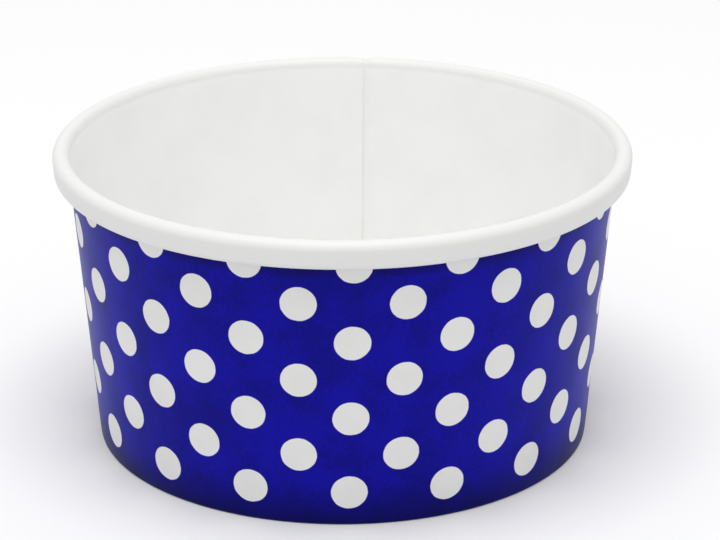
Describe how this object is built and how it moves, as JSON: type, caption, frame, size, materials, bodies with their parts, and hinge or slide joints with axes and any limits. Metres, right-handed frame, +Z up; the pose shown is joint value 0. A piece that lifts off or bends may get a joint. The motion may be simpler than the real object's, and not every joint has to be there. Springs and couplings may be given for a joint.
{
  "type": "paper dessert cup",
  "caption": "Round tapered paper dessert cup with a rolled rim, a lapped side seam, a recessed bottom and white polka dots on blue.",
  "frame": {"origin": "centre of the foot, on the surface the cup stands on", "axes": "+Z up along the cup's axis of revolution; the lapped seam is centred on +Y, at the back; -Y is the front of the printed wall"},
  "size_m": [0.096, 0.096, 0.0504],
  "materials": {
    "printed_board": "blue print with white dots on coated white board, white inside and on the rim",
    "white_board": "plastic-coated white board, satin"
  },
  "bodies": {
    "root": {"sidewall": "printed_board", "bottom": "white_board"}
  },
  "joints": []
}
